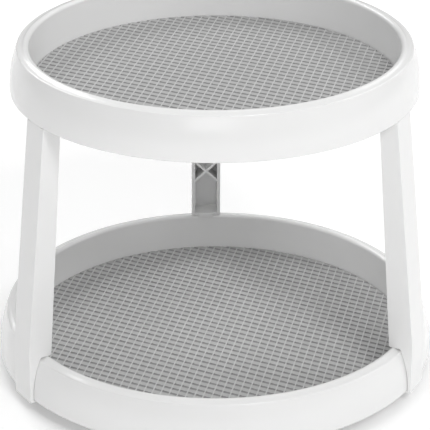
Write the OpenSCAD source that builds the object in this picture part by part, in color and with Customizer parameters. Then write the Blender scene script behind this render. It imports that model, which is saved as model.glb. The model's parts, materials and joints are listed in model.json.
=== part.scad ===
// Two-tier turntable organiser for spices. A base plate stands still on the shelf.
// Two round trays joined by three channel legs turn on it, on caged balls and a centre pin.
// Origin: on the spin axis, at the shelf. +Z is up and the rear leg points to +Y. Millimetres.

/* [Trays] */
// Widest radius of the upper tray
upper_r = 140.4; // [125:0.2:145]
// Widest radius of the lower tray
lower_r = 155.2; // [150:0.2:165]
// Height from the lower tray's rim to the upper tray's rim
tier_pitch = 198; // [150:1:240]
// Depth of the rim's skirt, from its top to its lower edge
rim_h = 31.2; // [30.6:0.1:33]
// Depth from the top of the rim to the mat
mat_depth = 27.0; // [24:0.2:27.6]
// Thickness of the tray floor
floor_t = 2.0; // [1.6:0.1:2.4]
// Wall thickness of the rim
wall_t = 1.9; // [1.6:0.1:2.2]
// Thickness of a mat
mat_t = 1.2; // [0.8:0.1:2]

/* [Legs] */
// Width of a leg across its channel
leg_w = 22; // [18:1:26]
// Thickness of a leg's outer web
web_t = 2.0; // [1.6:0.1:2.2]
// Thickness of a leg's two side flanges
flange_t = 2.5; // [2:0.1:3]
// Depth of a leg's flanges where it enters the upper rim
flange_top_d = 12.9; // [11.5:0.1:13.2]
// Depth of a leg's flanges where it stands on the lower rim
flange_rim_d = 17.4; // [16:0.2:18]
// Thickness of the crossed ribs inside a leg
brace_t = 1.8; // [1.2:0.1:2.4]
// Height of one crossed pair of ribs
brace_pitch = 20.7; // [14:0.1:24]
// Number of crossed pairs in a leg
brace_count = 6; // [1:1:6]

/* [Base and bearing] */
// Radius of the base plate
base_r = 106; // [98:1:115]
// Radius of the circle that the balls run on
track_r = 72; // [60:1:76]
// Radius of a ball
ball_r = 2.5; // [2:0.1:2.6]
// Number of balls
ball_count = 16; // [8:1:24]
// Radius of the centre pin
pin_r = 4; // [3:0.1:4.5]
// Radius of a foot pad
pad_r = 8; // [6:0.5:8]
// Radius of the circle that the foot pads stand on
pad_circle_r = 90; // [89:0.5:92]

/* [Hidden] */
$fn = 96;

// Colours
white = [0.95, 0.95, 0.94];
mat_grey = [0.68, 0.68, 0.68];
base_grey = [0.85, 0.85, 0.84];
steel = [0.72, 0.73, 0.75];
rubber = [0.22, 0.22, 0.23];
nylon = [0.88, 0.87, 0.82];

// Small gap between pieces that are fixed together
fit_gap = 0.2;
// Overlap that joins two shapes of one piece
bite = 0.5;

// Heights of the stack below the lower tray, from the shelf up
foot_proud = 1.5;
plate_top = 4.0;
race_seat_z = 3.6;
race_t = 1.9;
ball_z = 7.6;
hub_top = 8.0;
under_tray = 11.4;

// Rim tops of the two trays
lower_top = under_tray + floor_t + mat_t + mat_depth;
upper_top = lower_top + tier_pitch;

// Rim section, as distances in from the widest radius and down from the rim's top
bead_r = 2.6;
bead_in = 11.3;
bead_arc_end = 62;
lip_valley = [8.9, 1.0];
lip_edge = [6.7, 1.4];
lip_edge_r = 1.3;
crease_in = 5.3;
crease_d = 3.1;
wide_d = 28.2;
skirt_bulge = 1.3;
skirt_steps = 12;
floor_round = 0.4;
wall_draft = 0.5;
lip_under_in = 6.9;
mat_gap = 0.3;
wall_in = bead_in + bead_r;
under_d = mat_depth + mat_t + floor_t;

// Leg levels and radii
shoulder_z = upper_top - rim_h - fit_gap;
tongue_top = shoulder_z + 18;
bend_z = lower_top + 2.9;
tip_z = lower_top - rim_h - 1.4;
hook_top = lower_top - rim_h - fit_gap;
hook_reach = 3.8;
leg_top_r = upper_r - 0.8;
leg_low_r = lower_r + fit_gap + web_t;
flange_low_in = leg_low_r - flange_rim_d;
flange_top_in = leg_top_r - flange_top_d;
tongue_in = upper_r - 11.7;
tongue_gap = 0.8;
foot_t = 2.0;
tab_w = 11;
tab_drop = 0.8;
tab_t = 1.6;
// The first crossed pair starts above the foot of the leg, where jars and hands reach in
brace_lift = 28.5;
brace_z0 = lower_top + brace_lift;
// Two ribs of the upper tray hold each tongue between them
socket_t = 1.6;
socket_h = 20;

// Bearing details
race_w = 11;
seat_in = track_r - race_w / 2 - 0.1;
seat_out = track_r + race_w / 2 + 0.1;
groove_gap = 0.3;
cage_w = 7;
cage_t = 1.6;
pin_gap = 0.05;
boss_r = 16;
boss_bottom = hub_top + 0.3;
counterbore_r = 10.5;
counterbore_z = under_tray - 0.8;
washer_t = 0.8;
washer_r = 9.5;
pin_end = 2.1;
pin_head_r = 8;
pin_head_t = 1.5;
pin_head_round = 0.5;
retainer_r = 8.5;
retainer_t = 0.8;
press_gap = 0.02;

// Base plate details
hub_r = 13;
edge_h = 7;
edge_t = 2.5;
plate_rib_t = 1.6;
inner_ribs = 8;
inner_rib_h = 1.7;
outer_ribs = 24;
outer_rib_h = 2.3;
pad_count = 6;
pad_h = 2.3;
pad_round = 0.5;
cover_r = 14;
cover_h = 1.9;

// Underside details of the trays
tray_rib_t = 1.6;
tray_rib_h = 1.0;
lower_ribs = 24;
upper_ribs = 6;
ridge_h = 1.4;
ridge_t = 1.9;
ring_r = 29;
ring_t = 2;

// Points of an arc about c, from angle a0 to angle a1
function arc(c, r, a0, a1, n = 8) =
    [for (i = [0:n]) let(a = a0 + (a1 - a0) * i / n) [c[0] + r * cos(a), c[1] + r * sin(a)]];

// Outer radius of a rim's skirt at depth d below the rim's top
function skirt_r(rim_r, d) =
    let(k = min(1, (d - crease_d) / (wide_d - crease_d)))
    rim_r - (crease_in - skirt_bulge * 4 * k) * (1 - k);

// Depths down the skirt, from the crease to its widest place
skirt_depths = [for (i = [0:skirt_steps]) crease_d + (wide_d - crease_d) * i / skirt_steps];

// Half section of a tray: floor, inner wall, rolled lip and skirt. Height 0 is the rim's top.
function tray_section(rim_r) = concat(
    [[0, -under_d], [rim_r - wall_in + wall_t - floor_round, -under_d],
     [rim_r - wall_in + wall_t, -under_d + floor_round]],
    arc([rim_r - bead_in, -bead_r], bead_r - wall_t, 180, 90, 5),
    [[rim_r - lip_under_in, -wall_t - lip_edge[1]]],
    [for (d = skirt_depths) if (d > crease_d + 2) [skirt_r(rim_r, d) - wall_t, -d]],
    arc([rim_r - wall_t / 2, wall_t / 2 - rim_h], wall_t / 2, 180, 360, 8),
    [for (i = [skirt_steps:-1:0]) [skirt_r(rim_r, skirt_depths[i]), -skirt_depths[i]]],
    arc([rim_r - lip_edge[0], -lip_edge[1] - lip_edge_r], lip_edge_r, 20, 90, 5),
    [[rim_r - lip_valley[0], -lip_valley[1]]],
    arc([rim_r - bead_in, -bead_r], bead_r, bead_arc_end, 180, 12),
    [[rim_r - wall_in - wall_draft, -mat_depth - mat_t], [0, -mat_depth - mat_t]]);

module tray(rim_r, top) {
    translate([0, 0, top]) rotate_extrude($fn = 180) polygon(tray_section(rim_r));
}

module mat(rim_r, top) {
    translate([0, 0, top - mat_depth - mat_t])
        cylinder(r = rim_r - wall_in - wall_draft - mat_gap, h = mat_t, $fn = 180);
}

// A flat ring between two radii
module ring(r_in, r_out, h) {
    rotate_extrude() translate([r_in, 0]) square([r_out - r_in, h]);
}

// Radial stiffening ribs, standing on height 0
module radial_ribs(count, r_in, r_out, t, h) {
    for (i = [0:count - 1])
        rotate([0, 0, i * 360 / count]) translate([r_in, -t / 2, 0]) cube([r_out - r_in, t, h]);
}

// Extrudes an outline drawn in radius and height to a plate across the radius, width w about s
module radial_plate(points, s, w) {
    translate([0, s + w / 2, 0]) rotate([90, 0, 0]) linear_extrude(w) polygon(points);
}

// Inner face of a leg's outer web at height z, above the bend
function web_inner_r(z) =
    leg_low_r - web_t - (leg_low_r - leg_top_r) * (z - bend_z) / (shoulder_z - bend_z);

// Inner edge of a leg's flanges at height z
function flange_inner_r(z) =
    flange_low_in - (flange_low_in - flange_top_in) * (z - bend_z) / (shoulder_z - bend_z);

// Outer face of a leg, from the tip to the top of the tongue in the upper rim
leg_outline = [[leg_low_r, tip_z], [leg_low_r, bend_z], [leg_top_r, shoulder_z],
    [skirt_r(upper_r, wide_d) - wall_t - tongue_gap, shoulder_z],
    [skirt_r(upper_r, upper_top - tongue_top) - wall_t - tongue_gap, tongue_top]];

leg_web_points = concat(leg_outline,
    [[leg_outline[4][0] - web_t, tongue_top], [leg_outline[3][0] - web_t, shoulder_z - 1],
     [web_inner_r(shoulder_z - 8), shoulder_z - 8], [leg_low_r - web_t, bend_z],
     [leg_low_r - web_t, hook_top], [leg_low_r - hook_reach, hook_top],
     [leg_low_r - hook_reach, tip_z]]);

// The flange is notched to sit over the lower rim
leg_flange_points = concat(leg_outline,
    [[tongue_in, tongue_top], [tongue_in, shoulder_z + 1], [flange_top_in, shoulder_z + 1],
     [flange_inner_r(bend_z), bend_z], [flange_low_in, lower_top + fit_gap + 1],
     [flange_low_in + 1, lower_top + fit_gap], [lower_r - lip_edge[0] - 0.6, lower_top + fit_gap],
     [lower_r - lip_edge[0] + 0.5, lower_top - lip_edge[1] + 0.5]],
    [for (d = skirt_depths) [skirt_r(lower_r, d) - fit_gap / 2, lower_top - d]],
    [[lower_r - fit_gap / 2, hook_top], [leg_low_r - hook_reach, hook_top],
     [leg_low_r - hook_reach, tip_z]]);

// The space between the flanges that the crossed ribs fill
brace_points = [[flange_inner_r(brace_z0) + 1, brace_z0],
    [web_inner_r(brace_z0) + bite, brace_z0],
    [web_inner_r(shoulder_z) + bite, shoulder_z], [flange_inner_r(shoulder_z) + 1, shoulder_z]];

// One crossed pair of ribs, seen along the radius, from height 0 up
module brace_pair() {
    span = leg_w - flange_t;
    lean = atan2(brace_pitch - brace_t, span);
    intersection() {
        translate([-span / 2, 0]) square([span, brace_pitch]);
        translate([0, brace_pitch / 2])
            for (side = [-1, 1])
                rotate([0, 0, side * lean]) square([2 * span, brace_t], center = true);
    }
}

module leg() {
    inner_w = leg_w - 2 * flange_t;
    radial_plate(leg_web_points, 0, leg_w - flange_t);
    for (side = [-1, 1])
        radial_plate(leg_flange_points, side * (leg_w - flange_t) / 2, flange_t);
    intersection() {
        radial_plate(brace_points, 0, inner_w + bite);
        for (i = [0:brace_count - 1])
            translate([upper_r / 2, 0, brace_z0 + i * brace_pitch])
                rotate([90, 0, 90]) linear_extrude(lower_r) brace_pair();
    }
    // The plate that closes the channel on top of the rim, and its tab inside the rim
    translate([flange_low_in + 0.6, -inner_w / 2 - bite / 2, lower_top + fit_gap])
        cube([flange_rim_d - web_t, inner_w + bite, foot_t]);
    translate([lower_r - wall_in - fit_gap - tab_t, -tab_w / 2, lower_top - tab_drop])
        cube([tab_t, tab_w, tab_drop + fit_gap + foot_t]);
}

// Two ribs inside the upper rim that hold a leg's tongue between them
module leg_socket() {
    depth = upper_top - shoulder_z - 1;
    inner_r = upper_r - wall_in + wall_t / 2;
    outer = [for (d = [depth:-socket_h / 5:depth - socket_h]) [skirt_r(upper_r, d) - 0.75 * wall_t, -d]];
    points = concat(outer, [[inner_r, socket_h - depth], [inner_r, -depth]]);
    for (side = [-1, 1])
        translate([0, 0, upper_top])
            radial_plate(points, side * (leg_w / 2 + fit_gap + socket_t / 2), socket_t);
}

module base_plate() {
    color(base_grey) difference() {
        union() {
            translate([0, 0, foot_proud]) cylinder(r = base_r, h = plate_top - foot_proud);
            translate([0, 0, foot_proud]) cylinder(r = hub_r, h = hub_top - foot_proud);
            translate([0, 0, foot_proud]) ring(base_r - edge_t, base_r, edge_h);
            translate([0, 0, plate_top - bite]) {
                radial_ribs(inner_ribs, hub_r - 1, seat_in - 2, plate_rib_t, inner_rib_h + bite);
                radial_ribs(outer_ribs, seat_out + 2, base_r - 1, plate_rib_t, outer_rib_h + bite);
            }
        }
        // Seat of the lower race
        translate([0, 0, race_seat_z]) ring(seat_in, seat_out, edge_h);
        // Bore for the pin, and recesses for its retainer and the pad that covers it
        translate([0, 0, -1]) cylinder(r = pin_r + press_gap, h = hub_top + 2);
        cylinder(r = retainer_r + 1, h = pin_end + retainer_t + 0.1);
        cylinder(r = cover_r + 0.1, h = cover_h);
        for (i = [0:pad_count - 1])
            rotate([0, 0, i * 360 / pad_count]) translate([pad_circle_r, 0, 0])
                cylinder(r = pad_r + 0.05, h = pad_h);
    }
}

// A round rubber pad with a chamfered lower edge, standing on height 0
module pad(r, h) {
    cylinder(r1 = r - pad_round, r2 = r, h = pad_round);
    translate([0, 0, pad_round]) cylinder(r = r, h = h - pad_round);
}

module foot_pad(i) {
    color(rubber) rotate([0, 0, i * 360 / pad_count]) translate([pad_circle_r, 0, 0]) pad(pad_r, pad_h);
}

module pin_cover_pad() {
    color(rubber) pad(cover_r, cover_h);
}

// A pressed ring with a round groove that faces the balls, from height z0 up
module race(z0, h) {
    color(steel) rotate_extrude($fn = 180) difference() {
        translate([track_r - race_w / 2, z0]) square([race_w, h]);
        translate([track_r, ball_z]) circle(r = ball_r + groove_gap);
    }
}

module lower_race() {
    race(race_seat_z, race_t);
}

module upper_race() {
    race(under_tray - race_t, race_t);
}

module ball_cage() {
    color(nylon) difference() {
        translate([0, 0, ball_z - cage_t / 2]) ring(track_r - cage_w / 2, track_r + cage_w / 2, cage_t);
        for (i = [0:ball_count - 1])
            rotate([0, 0, i * 360 / ball_count]) translate([track_r, 0, ball_z])
                cylinder(r = ball_r + 0.2, h = 2 * cage_t, center = true, $fn = 32);
    }
}

module bearing_balls() {
    color(steel)
        for (i = [0:ball_count - 1])
            rotate([0, 0, i * 360 / ball_count]) translate([track_r, 0, ball_z])
                sphere(r = ball_r, $fn = 32);
}

module pivot_pin() {
    head_z = counterbore_z + washer_t + fit_gap;
    color(steel) {
        translate([0, 0, pin_end]) cylinder(r = pin_r, h = head_z - pin_end);
        translate([0, 0, head_z]) cylinder(r = pin_head_r, h = pin_head_t - pin_head_round);
        translate([0, 0, head_z + pin_head_t - pin_head_round])
            cylinder(r1 = pin_head_r, r2 = pin_head_r - pin_head_round, h = pin_head_round);
    }
}

module pivot_washer() {
    color(nylon) translate([0, 0, counterbore_z + 0.1]) ring(pin_r + 0.1, washer_r, washer_t);
}

module pin_retainer() {
    color(steel) translate([0, 0, pin_end]) difference() {
        cylinder(r = retainer_r, h = retainer_t);
        translate([0, 0, -1]) cylinder(r = pin_r + press_gap, h = 3);
        for (i = [0:5])
            rotate([0, 0, 60 * i]) translate([pin_r - 1, -0.4, -1]) cube([3, 0.8, 3]);
    }
}

module lower_tray() {
    color(white) difference() {
        union() {
            tray(lower_r, lower_top);
            // Pivot boss, ridges around the upper race, and ribs outside the base plate
            translate([0, 0, boss_bottom]) cylinder(r = boss_r, h = under_tray - boss_bottom + bite);
            translate([0, 0, under_tray - ridge_h]) {
                ring(seat_in - ridge_t, seat_in, ridge_h + bite);
                ring(seat_out, seat_out + ridge_t, ridge_h + bite);
            }
            translate([0, 0, under_tray - tray_rib_h])
                radial_ribs(lower_ribs, base_r + 2, lower_r - wall_in, tray_rib_t, tray_rib_h + bite);
        }
        translate([0, 0, boss_bottom - 1]) cylinder(r = pin_r + pin_gap, h = 10);
        translate([0, 0, counterbore_z]) cylinder(r = counterbore_r, h = 10);
    }
}

module lower_mat() {
    color(mat_grey) mat(lower_r, lower_top);
}

module left_leg() {
    color(white) rotate([0, 0, 210]) leg();
}

module right_leg() {
    color(white) rotate([0, 0, 330]) leg();
}

module rear_leg() {
    color(white) rotate([0, 0, 90]) leg();
}

module upper_tray() {
    color(white) {
        tray(upper_r, upper_top);
        for (a = [90, 210, 330])
            rotate([0, 0, a]) leg_socket();
        translate([0, 0, upper_top - under_d - tray_rib_h]) {
            radial_ribs(upper_ribs, ring_r, upper_r - wall_in - 1, tray_rib_t, tray_rib_h + bite);
            ring(ring_r - ring_t / 2, ring_r + ring_t / 2, tray_rib_h + bite);
        }
    }
}

module upper_mat() {
    color(mat_grey) mat(upper_r, upper_top);
}

base_plate();
foot_pad(0);  // foot_pad_1
foot_pad(1);  // foot_pad_2
foot_pad(2);  // foot_pad_3
foot_pad(3);  // foot_pad_4
foot_pad(4);  // foot_pad_5
foot_pad(5);  // foot_pad_6
pin_cover_pad();
lower_race();
ball_cage();
bearing_balls();
upper_race();
pivot_pin();
pivot_washer();
pin_retainer();
lower_tray();
lower_mat();
left_leg();
right_leg();
rear_leg();
upper_tray();
upper_mat();
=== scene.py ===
"""Looks of the two-tier spice turntable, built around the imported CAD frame. Metres throughout."""

import json
import math

import bmesh
import bpy
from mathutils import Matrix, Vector

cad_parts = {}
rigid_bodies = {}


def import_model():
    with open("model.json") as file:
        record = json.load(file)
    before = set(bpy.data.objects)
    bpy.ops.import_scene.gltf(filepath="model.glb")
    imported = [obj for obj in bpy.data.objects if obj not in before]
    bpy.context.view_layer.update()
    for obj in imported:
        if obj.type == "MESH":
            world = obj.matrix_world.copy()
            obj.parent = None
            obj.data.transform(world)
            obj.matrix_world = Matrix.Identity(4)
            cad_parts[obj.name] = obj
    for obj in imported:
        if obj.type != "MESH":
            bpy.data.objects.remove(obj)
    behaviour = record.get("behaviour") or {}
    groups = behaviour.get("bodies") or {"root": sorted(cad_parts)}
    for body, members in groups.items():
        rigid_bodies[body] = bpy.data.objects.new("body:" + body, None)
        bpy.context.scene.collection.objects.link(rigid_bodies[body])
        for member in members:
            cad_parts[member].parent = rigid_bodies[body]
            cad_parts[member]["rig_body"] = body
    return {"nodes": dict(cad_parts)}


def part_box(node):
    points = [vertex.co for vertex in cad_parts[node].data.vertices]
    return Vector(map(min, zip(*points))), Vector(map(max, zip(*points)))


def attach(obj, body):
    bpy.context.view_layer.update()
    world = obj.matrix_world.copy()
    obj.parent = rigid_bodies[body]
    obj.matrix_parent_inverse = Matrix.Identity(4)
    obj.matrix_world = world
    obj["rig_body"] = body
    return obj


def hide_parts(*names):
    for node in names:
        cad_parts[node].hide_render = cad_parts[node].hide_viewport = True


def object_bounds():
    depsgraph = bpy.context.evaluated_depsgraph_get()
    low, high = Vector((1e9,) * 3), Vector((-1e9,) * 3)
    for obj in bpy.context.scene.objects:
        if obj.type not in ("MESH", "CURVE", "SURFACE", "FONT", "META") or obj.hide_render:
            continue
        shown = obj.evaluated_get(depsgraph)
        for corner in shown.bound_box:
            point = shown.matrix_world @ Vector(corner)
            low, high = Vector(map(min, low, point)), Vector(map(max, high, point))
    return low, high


MM = 0.001

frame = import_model()
CAD_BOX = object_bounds()

# ---------------------------------------------------------------- camera and light
LENS_MM = 166.3
SENSOR_MM = 36.0
CAMERA_DISTANCE = 1.4065
CAMERA_ELEVATION = 25.05
CAMERA_AZIMUTH = -2.88
AIM = Vector((0, 0, 0.1075))
PANEL_DISTANCE = 3.2
ROOM_LIGHT = 0.23
FLOOR_GLOW = 0.18
# Azimuth from the front, elevation in degrees, width in metres and power in watts of each soft panel
PANELS = {
    "key": (20, 42, 0.8, 28),
    "front": (-5, 25, 1.4, 12),
    "left": (-42, 42, 1.4, 4),
    "right": (95, 40, 1.4, 21),
    "back_right": (135, 35, 1.4, 11),
    "back_left": (-145, 38, 1.4, 33),
    "top": (0, 88, 1.8, 17),
}

# ---------------------------------------------------------------- meshes
WELD = 0.002 * MM
FLAT_ANGLE = 0.5
BEVEL_STEPS = 3
BEVEL_ANGLE = 30
LEG_ROUND = 0.45 * MM
CREASE_ANGLE = 32
MAT_CREASE_ANGLE = 40
FLOOR_HALF_WIDTH = 6

# ---------------------------------------------------------------- mat grid
# Two families of lines, each by the direction across it, its pitch and its offset from the axis
RIB_ANGLE = -15.0
RIB_PITCH = 5.9 * MM
RIB_W = 0.9 * MM
RIB_H = 0.2 * MM
ROW_ANGLE = 60.0
ROW_PITCH = 6.16 * MM
ROW_OFFSET = 4.6 * MM
POCKET_W = 2.5 * MM
POCKET_D = 0.5 * MM
DRAFT = 0.18 * MM
# The untrimmed slab's reach as a share of the mat's radius; the steps and spare height of its trimming disc
SLAB_REACH = 1.08
MAT_STEPS = 288
TRIM_MARGIN = 1 * MM


# ---------------------------------------------------------------- mesh helpers
def add_object(name, mesh):
    piece = bpy.data.objects.new(name, mesh)
    bpy.context.scene.collection.objects.link(piece)
    return piece


def apply_modifiers(piece):
    """Turns a piece's modifiers into its mesh."""
    graph = bpy.context.evaluated_depsgraph_get()
    mesh = bpy.data.meshes.new_from_object(piece.evaluated_get(graph))
    piece.modifiers.clear()
    piece.data = mesh
    return piece


def smooth(piece, angle=CREASE_ANGLE):
    """Smooth shading with sharp creases, and normals that keep broad faces flat."""
    piece.data.shade_smooth()
    piece.data.set_sharp_from_angle(angle=math.radians(angle))
    weighted = piece.modifiers.new("weighted", "WEIGHTED_NORMAL")
    weighted.keep_sharp = True
    return apply_modifiers(piece)


def refined(node, material, round_w=0.0):
    """Shows a copy of a CAD node with welded faces, rounded edges and smooth shading in its place."""
    source = frame["nodes"][node]
    mesh = bpy.data.meshes.new(node + "_skin")
    faces = [p.vertices[:] for p in source.data.polygons]
    mesh.from_pydata([v.co[:] for v in source.data.vertices], [], faces)
    bm = bmesh.new()
    bm.from_mesh(mesh)
    bmesh.ops.remove_doubles(bm, verts=bm.verts, dist=WELD)
    if round_w:
        flat = math.radians(FLAT_ANGLE)
        bmesh.ops.dissolve_limit(bm, angle_limit=flat, verts=bm.verts, edges=bm.edges)
    bm.to_mesh(mesh)
    bm.free()
    piece = add_object(node + "_skin", mesh)
    if round_w:
        bevel = piece.modifiers.new("bevel", "BEVEL")
        bevel.width = round_w
        bevel.segments = BEVEL_STEPS
        bevel.limit_method = "ANGLE"
        bevel.angle_limit = math.radians(BEVEL_ANGLE)
        apply_modifiers(piece)
    smooth(piece)
    return dress(piece, material, node)


def dress(piece, material, node):
    """Gives a new piece its material and its body, and hides the CAD node that it stands for."""
    piece.data.materials.clear()
    piece.data.materials.append(material)
    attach(piece, frame["nodes"][node]["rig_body"])
    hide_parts(node)
    return piece


# ---------------------------------------------------------------- node helpers
def new_material(name):
    material = bpy.data.materials.new(name)
    material.use_nodes = True
    return material, material.node_tree, material.node_tree.nodes["Principled BSDF"]


def place(tree):
    return tree.nodes.new("ShaderNodeTexCoord").outputs["Object"]


def noise(tree, scale, detail=2.0, stretch=(1, 1, 1)):
    """Noise over the object's own space; scale is in waves a metre."""
    mapping = tree.nodes.new("ShaderNodeMapping")
    mapping.inputs["Scale"].default_value = stretch
    texture = tree.nodes.new("ShaderNodeTexNoise")
    texture.inputs["Scale"].default_value = scale
    texture.inputs["Detail"].default_value = detail
    tree.links.new(place(tree), mapping.inputs["Vector"])
    tree.links.new(mapping.outputs["Vector"], texture.inputs["Vector"])
    return texture.outputs["Fac"]


def spread(tree, value, low, high, start=0.3, end=0.7):
    """Maps a value from start..end to low..high."""
    node = tree.nodes.new("ShaderNodeMapRange")
    for socket, number in zip(("From Min", "From Max", "To Min", "To Max"), (start, end, low, high)):
        node.inputs[socket].default_value = number
    tree.links.new(value, node.inputs["Value"])
    return node.outputs["Result"]


def height_between(tree, low, high):
    """0 to 1 between two heights in the object's space."""
    split = tree.nodes.new("ShaderNodeSeparateXYZ")
    tree.links.new(place(tree), split.inputs[0])
    return spread(tree, split.outputs["Z"], 0, 1, low, high)


def ramp(tree, value, stops):
    """Grey or colour along a value, from (position, colour) stops."""
    node = tree.nodes.new("ShaderNodeValToRGB")
    while len(node.color_ramp.elements) < len(stops):
        node.color_ramp.elements.new(0.5)
    for element, (position, colour) in zip(node.color_ramp.elements, stops):
        element.position = position
        element.color = (*colour, 1)
    tree.links.new(value, node.inputs["Fac"])
    return node.outputs["Color"]


def multiply(tree, first, second):
    node = tree.nodes.new("ShaderNodeMix")
    node.data_type = "RGBA"
    node.blend_type = "MULTIPLY"
    node.inputs[0].default_value = 1
    tree.links.new(first, node.inputs[6])
    tree.links.new(second, node.inputs[7])
    return node.outputs[2]


def bump(tree, height, strength, distance, under=None):
    node = tree.nodes.new("ShaderNodeBump")
    node.inputs["Strength"].default_value = strength
    node.inputs["Distance"].default_value = distance
    tree.links.new(height, node.inputs["Height"])
    if under is not None:
        tree.links.new(under, node.inputs["Normal"])
    return node.outputs["Normal"]


# ---------------------------------------------------------------- materials
def white_plastic():
    """Moulded white plastic: soft gloss, faint sink waviness, fine grain and a thin skin of polish."""
    material, tree, shader = new_material("white_plastic")
    tone = ramp(tree, noise(tree, 9, 3), [(0.3, (0.86, 0.86, 0.857)), (0.7, (0.88, 0.88, 0.877))])
    tree.links.new(tone, shader.inputs["Base Color"])
    tree.links.new(spread(tree, noise(tree, 38, 4), 0.17, 0.25), shader.inputs["Roughness"])
    waves = bump(tree, noise(tree, 18, 1), 0.3, 0.1 * MM)
    tree.links.new(bump(tree, noise(tree, 1800, 2), 0.12, 0.02 * MM, waves), shader.inputs["Normal"])
    shader.inputs["IOR"].default_value = 1.49
    shader.inputs["Subsurface Weight"].default_value = 0.06
    shader.inputs["Subsurface Radius"].default_value = (0.9, 0.9, 1.0)
    shader.inputs["Subsurface Scale"].default_value = 1.5 * MM
    shader.inputs["Coat Weight"].default_value = 0.15
    shader.inputs["Coat Roughness"].default_value = 0.1
    return material


def mat_rubber(name, top_z):
    """Light-grey thermoplastic rubber. Its colour follows height: painted shade darkens the pockets and a
    painted highlight lightens the rib tops.
    """
    material, tree, shader = new_material(name)
    # Painted shade and painted highlight: the base colour is darkest at the pocket floors and lightest on
    # the rib tops, set by height alone.
    level = height_between(tree, top_z - RIB_H - POCKET_D, top_z)
    tone = ramp(tree, level, [(0.0, (0.29, 0.29, 0.29)), (0.60, (0.41, 0.41, 0.41)),
                              (0.72, (0.47, 0.47, 0.47)), (1.0, (0.56, 0.56, 0.56))])
    mottle = ramp(tree, noise(tree, 160, 5), [(0.25, (0.90, 0.90, 0.90)), (0.75, (1.0, 1.0, 1.0))])
    tree.links.new(multiply(tree, tone, mottle), shader.inputs["Base Color"])
    tree.links.new(spread(tree, noise(tree, 900, 3), 0.62, 0.85), shader.inputs["Roughness"])
    tree.links.new(bump(tree, noise(tree, 3200, 3), 0.35, 0.05 * MM), shader.inputs["Normal"])
    return material


def base_plastic():
    """Off-white matte polypropylene with an etched mould texture."""
    material, tree, shader = new_material("base_plastic")
    tone = ramp(tree, noise(tree, 14, 4), [(0.3, (0.69, 0.69, 0.68)), (0.7, (0.75, 0.75, 0.74))])
    tree.links.new(tone, shader.inputs["Base Color"])
    tree.links.new(spread(tree, noise(tree, 80, 5), 0.45, 0.65), shader.inputs["Roughness"])
    tree.links.new(bump(tree, noise(tree, 1400, 3), 0.4, 0.06 * MM), shader.inputs["Normal"])
    return material


def foot_rubber():
    """Dark rubber with fine pitting and a little dust."""
    material, tree, shader = new_material("foot_rubber")
    tone = ramp(tree, noise(tree, 220, 5), [(0.35, (0.022, 0.022, 0.024)), (0.75, (0.06, 0.06, 0.06))])
    tree.links.new(tone, shader.inputs["Base Color"])
    tree.links.new(spread(tree, noise(tree, 400, 3), 0.68, 0.9), shader.inputs["Roughness"])
    tree.links.new(bump(tree, noise(tree, 2600, 3), 0.5, 0.08 * MM), shader.inputs["Normal"])
    return material


def pressed_steel():
    """Bright pressed steel with fine rolling marks and patchy polish."""
    material, tree, shader = new_material("pressed_steel")
    shader.inputs["Metallic"].default_value = 1.0
    tone = ramp(tree, noise(tree, 90, 5), [(0.3, (0.54, 0.55, 0.57)), (0.7, (0.68, 0.69, 0.71))])
    tree.links.new(tone, shader.inputs["Base Color"])
    tree.links.new(spread(tree, noise(tree, 300, 4, (1, 9, 1)), 0.2, 0.42), shader.inputs["Roughness"])
    tree.links.new(bump(tree, noise(tree, 1500, 3, (1, 12, 1)), 0.2, 0.03 * MM), shader.inputs["Normal"])
    return material


def cage_nylon():
    """Natural nylon: warm off-white and slightly waxy."""
    material, tree, shader = new_material("cage_nylon")
    tone = ramp(tree, noise(tree, 60, 4), [(0.3, (0.74, 0.71, 0.61)), (0.7, (0.80, 0.78, 0.70))])
    tree.links.new(tone, shader.inputs["Base Color"])
    tree.links.new(spread(tree, noise(tree, 500, 3), 0.38, 0.55), shader.inputs["Roughness"])
    tree.links.new(bump(tree, noise(tree, 1800, 2), 0.25, 0.04 * MM), shader.inputs["Normal"])
    shader.inputs["Subsurface Weight"].default_value = 0.15
    shader.inputs["Subsurface Scale"].default_value = 2 * MM
    return material


# ---------------------------------------------------------------- mats
def grid_lines(pitch, offset, reach, profile):
    """(place, level) of every grid line across a family of ridges or pockets, over twice the reach."""
    first = math.floor((-reach - offset) / pitch)
    last = math.ceil((reach - offset) / pitch)
    return [(offset + k * pitch + d, level) for k in range(first, last + 1) for d, level in profile]


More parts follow.
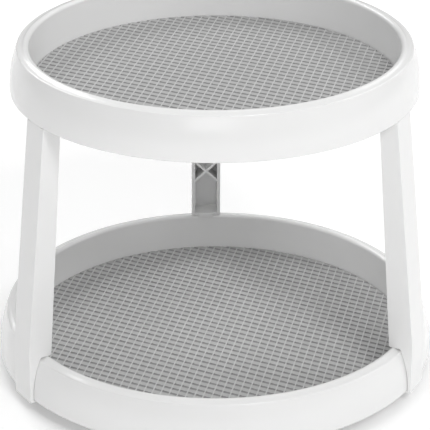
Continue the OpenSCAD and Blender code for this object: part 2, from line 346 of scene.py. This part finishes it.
def grid_slab(name, reach, bottom, top):
    """A closed slab whose top carries the ribs and the rows of pockets."""
    half = RIB_W / 2
    rib = [(-half - DRAFT, 0), (-half, 0.75), (-0.6 * half, 1),
           (0.6 * half, 1), (half, 0.75), (half + DRAFT, 0)]
    half = POCKET_W / 2
    pocket = [(-half, 0), (-half + 0.5 * DRAFT, 0.3), (-half + DRAFT * 1.4, 1),
              (half - DRAFT * 1.4, 1), (half - 0.5 * DRAFT, 0.3), (half, 0)]
    columns = grid_lines(RIB_PITCH, 0, reach, rib)
    rows = grid_lines(ROW_PITCH, ROW_OFFSET, reach, pocket)
    a, b = math.radians(RIB_ANGLE), math.radians(ROW_ANGLE)
    skew = math.sin(b - a)
    along_a = Vector((math.sin(b), -math.cos(b))) / skew
    along_b = Vector((-math.sin(a), math.cos(a))) / skew

    bm = bmesh.new()
    tops = []
    for across, rib_level in columns:
        line = []
        for down, pocket_level in rows:
            x, y = along_a * across + along_b * down
            rise = RIB_H * rib_level
            sink = POCKET_D * pocket_level * (1 - rib_level)
            line.append(bm.verts.new((x, y, top - RIB_H + rise - sink)))
        tops.append(line)
    for line, after in zip(tops, tops[1:]):
        for j in range(len(rows) - 1):
            bm.faces.new((line[j], after[j], after[j + 1], line[j + 1]))
    edge = [e for e in bm.edges if len(e.link_faces) == 1]
    skirt = bmesh.ops.extrude_edge_only(bm, edges=edge)["geom"]
    lower = [v for v in skirt if isinstance(v, bmesh.types.BMVert)]
    for vert in lower:
        vert.co.z = bottom
    rim = [e for e in skirt if isinstance(e, bmesh.types.BMEdge) and len(e.link_faces) == 1]
    bmesh.ops.contextual_create(bm, geom=rim)
    bmesh.ops.recalc_face_normals(bm, faces=bm.faces)
    mesh = bpy.data.meshes.new(name)
    bm.to_mesh(mesh)
    bm.free()
    return add_object(name, mesh)


def disc(name, radius, bottom, top):
    """A plain round blank that trims a slab to the mat's outline."""
    bm = bmesh.new()
    bmesh.ops.create_cone(bm, cap_ends=True, segments=MAT_STEPS,
                          radius1=radius, radius2=radius, depth=top - bottom)
    bmesh.ops.translate(bm, verts=bm.verts, vec=(0, 0, (top + bottom) / 2))
    mesh = bpy.data.meshes.new(name)
    bm.to_mesh(mesh)
    bm.free()
    return add_object(name, mesh)


def build_mat(node):
    """A moulded mat: a thin disc of rubber with fine ribs one way and rows of short pockets the other."""
    low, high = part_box(node)
    radius = (high.x - low.x) / 2
    piece = grid_slab(node + "_grid", radius * SLAB_REACH, low.z, high.z)
    blank = disc("blank", radius, low.z - TRIM_MARGIN, high.z + TRIM_MARGIN)
    trim = piece.modifiers.new("trim", "BOOLEAN")
    trim.operation = "INTERSECT"
    trim.solver = "MANIFOLD"
    trim.object = blank
    apply_modifiers(piece)
    bpy.data.objects.remove(blank)
    smooth(piece, MAT_CREASE_ANGLE)
    return dress(piece, mat_rubber(node + "_rubber", high.z), node)


# ---------------------------------------------------------------- studio
def build_floor():
    """A plain pale floor at the height of the object's pads; a faint glow keeps its far part pale."""
    bm = bmesh.new()
    bmesh.ops.create_grid(bm, x_segments=1, y_segments=1, size=FLOOR_HALF_WIDTH)
    mesh = bpy.data.meshes.new("floor")
    bm.to_mesh(mesh)
    bm.free()
    floor = add_object("floor", mesh)
    floor.location.z = CAD_BOX[0].z
    material, _, shader = new_material("floor_paper")
    shader.inputs["Base Color"].default_value = (0.93, 0.93, 0.93, 1)
    shader.inputs["Roughness"].default_value = 0.9
    shader.inputs["Emission Color"].default_value = (1, 1, 1, 1)
    shader.inputs["Emission Strength"].default_value = FLOOR_GLOW
    mesh.materials.append(material)


def direction(azimuth, elevation):
    """Unit vector from the object towards a place; azimuth 0 is in front, at -Y, and 90 at the right."""
    a, e = math.radians(azimuth), math.radians(elevation)
    return Vector((math.sin(a) * math.cos(e), -math.cos(a) * math.cos(e), math.sin(e)))


def add_light(name, azimuth, elevation, width, watts):
    """A square soft panel that faces the object, placed by its direction from it."""
    data = bpy.data.lights.new(name, "AREA")
    data.size = width
    data.energy = watts
    light = bpy.data.objects.new(name, data)
    bpy.context.scene.collection.objects.link(light)
    light.location = AIM + direction(azimuth, elevation) * PANEL_DISTANCE
    light.rotation_mode = "QUATERNION"
    light.rotation_quaternion = (AIM - light.location).to_track_quat("-Z", "Y")


def build_light():
    """A ring of large soft panels in a dim room."""
    world = bpy.data.worlds.new("studio")
    world.use_nodes = True
    world.node_tree.nodes["Background"].inputs["Color"].default_value = (1, 1, 1, 1)
    world.node_tree.nodes["Background"].inputs["Strength"].default_value = ROOM_LIGHT
    bpy.context.scene.world = world
    for name, (azimuth, elevation, width, watts) in PANELS.items():
        add_light(name, azimuth, elevation, width, watts)


def build_camera():
    """A long lens at the photographed view."""
    data = bpy.data.cameras.new("camera")
    data.sensor_width = SENSOR_MM
    data.lens = LENS_MM
    camera = bpy.data.objects.new("camera", data)
    bpy.context.scene.collection.objects.link(camera)
    camera.location = AIM + direction(CAMERA_AZIMUTH, CAMERA_ELEVATION) * CAMERA_DISTANCE
    camera.rotation_mode = "QUATERNION"
    camera.rotation_quaternion = (AIM - camera.location).to_track_quat("-Z", "Y")
    bpy.context.scene.camera = camera


# ---------------------------------------------------------------- the object
WHITE = white_plastic()
STEEL = pressed_steel()
NYLON = cage_nylon()
BASE = base_plastic()
RUBBER = foot_rubber()

build_camera()
build_light()
build_floor()

for leg in ("left_leg", "right_leg", "rear_leg"):
    refined(leg, WHITE, round_w=LEG_ROUND)
for tray in ("lower_tray", "upper_tray"):
    refined(tray, WHITE)
for mat in ("lower_mat", "upper_mat"):
    build_mat(mat)
refined("base_plate", BASE)
for node in ("pivot_washer", "ball_cage"):
    refined(node, NYLON)
for node in ("lower_race", "upper_race", "bearing_balls", "pivot_pin", "pin_retainer"):
    refined(node, STEEL)
for node in ["pin_cover_pad"] + [f"foot_pad_{i}" for i in range(1, 7)]:
    refined(node, RUBBER)

bpy.context.scene.view_settings.view_transform = "Standard"
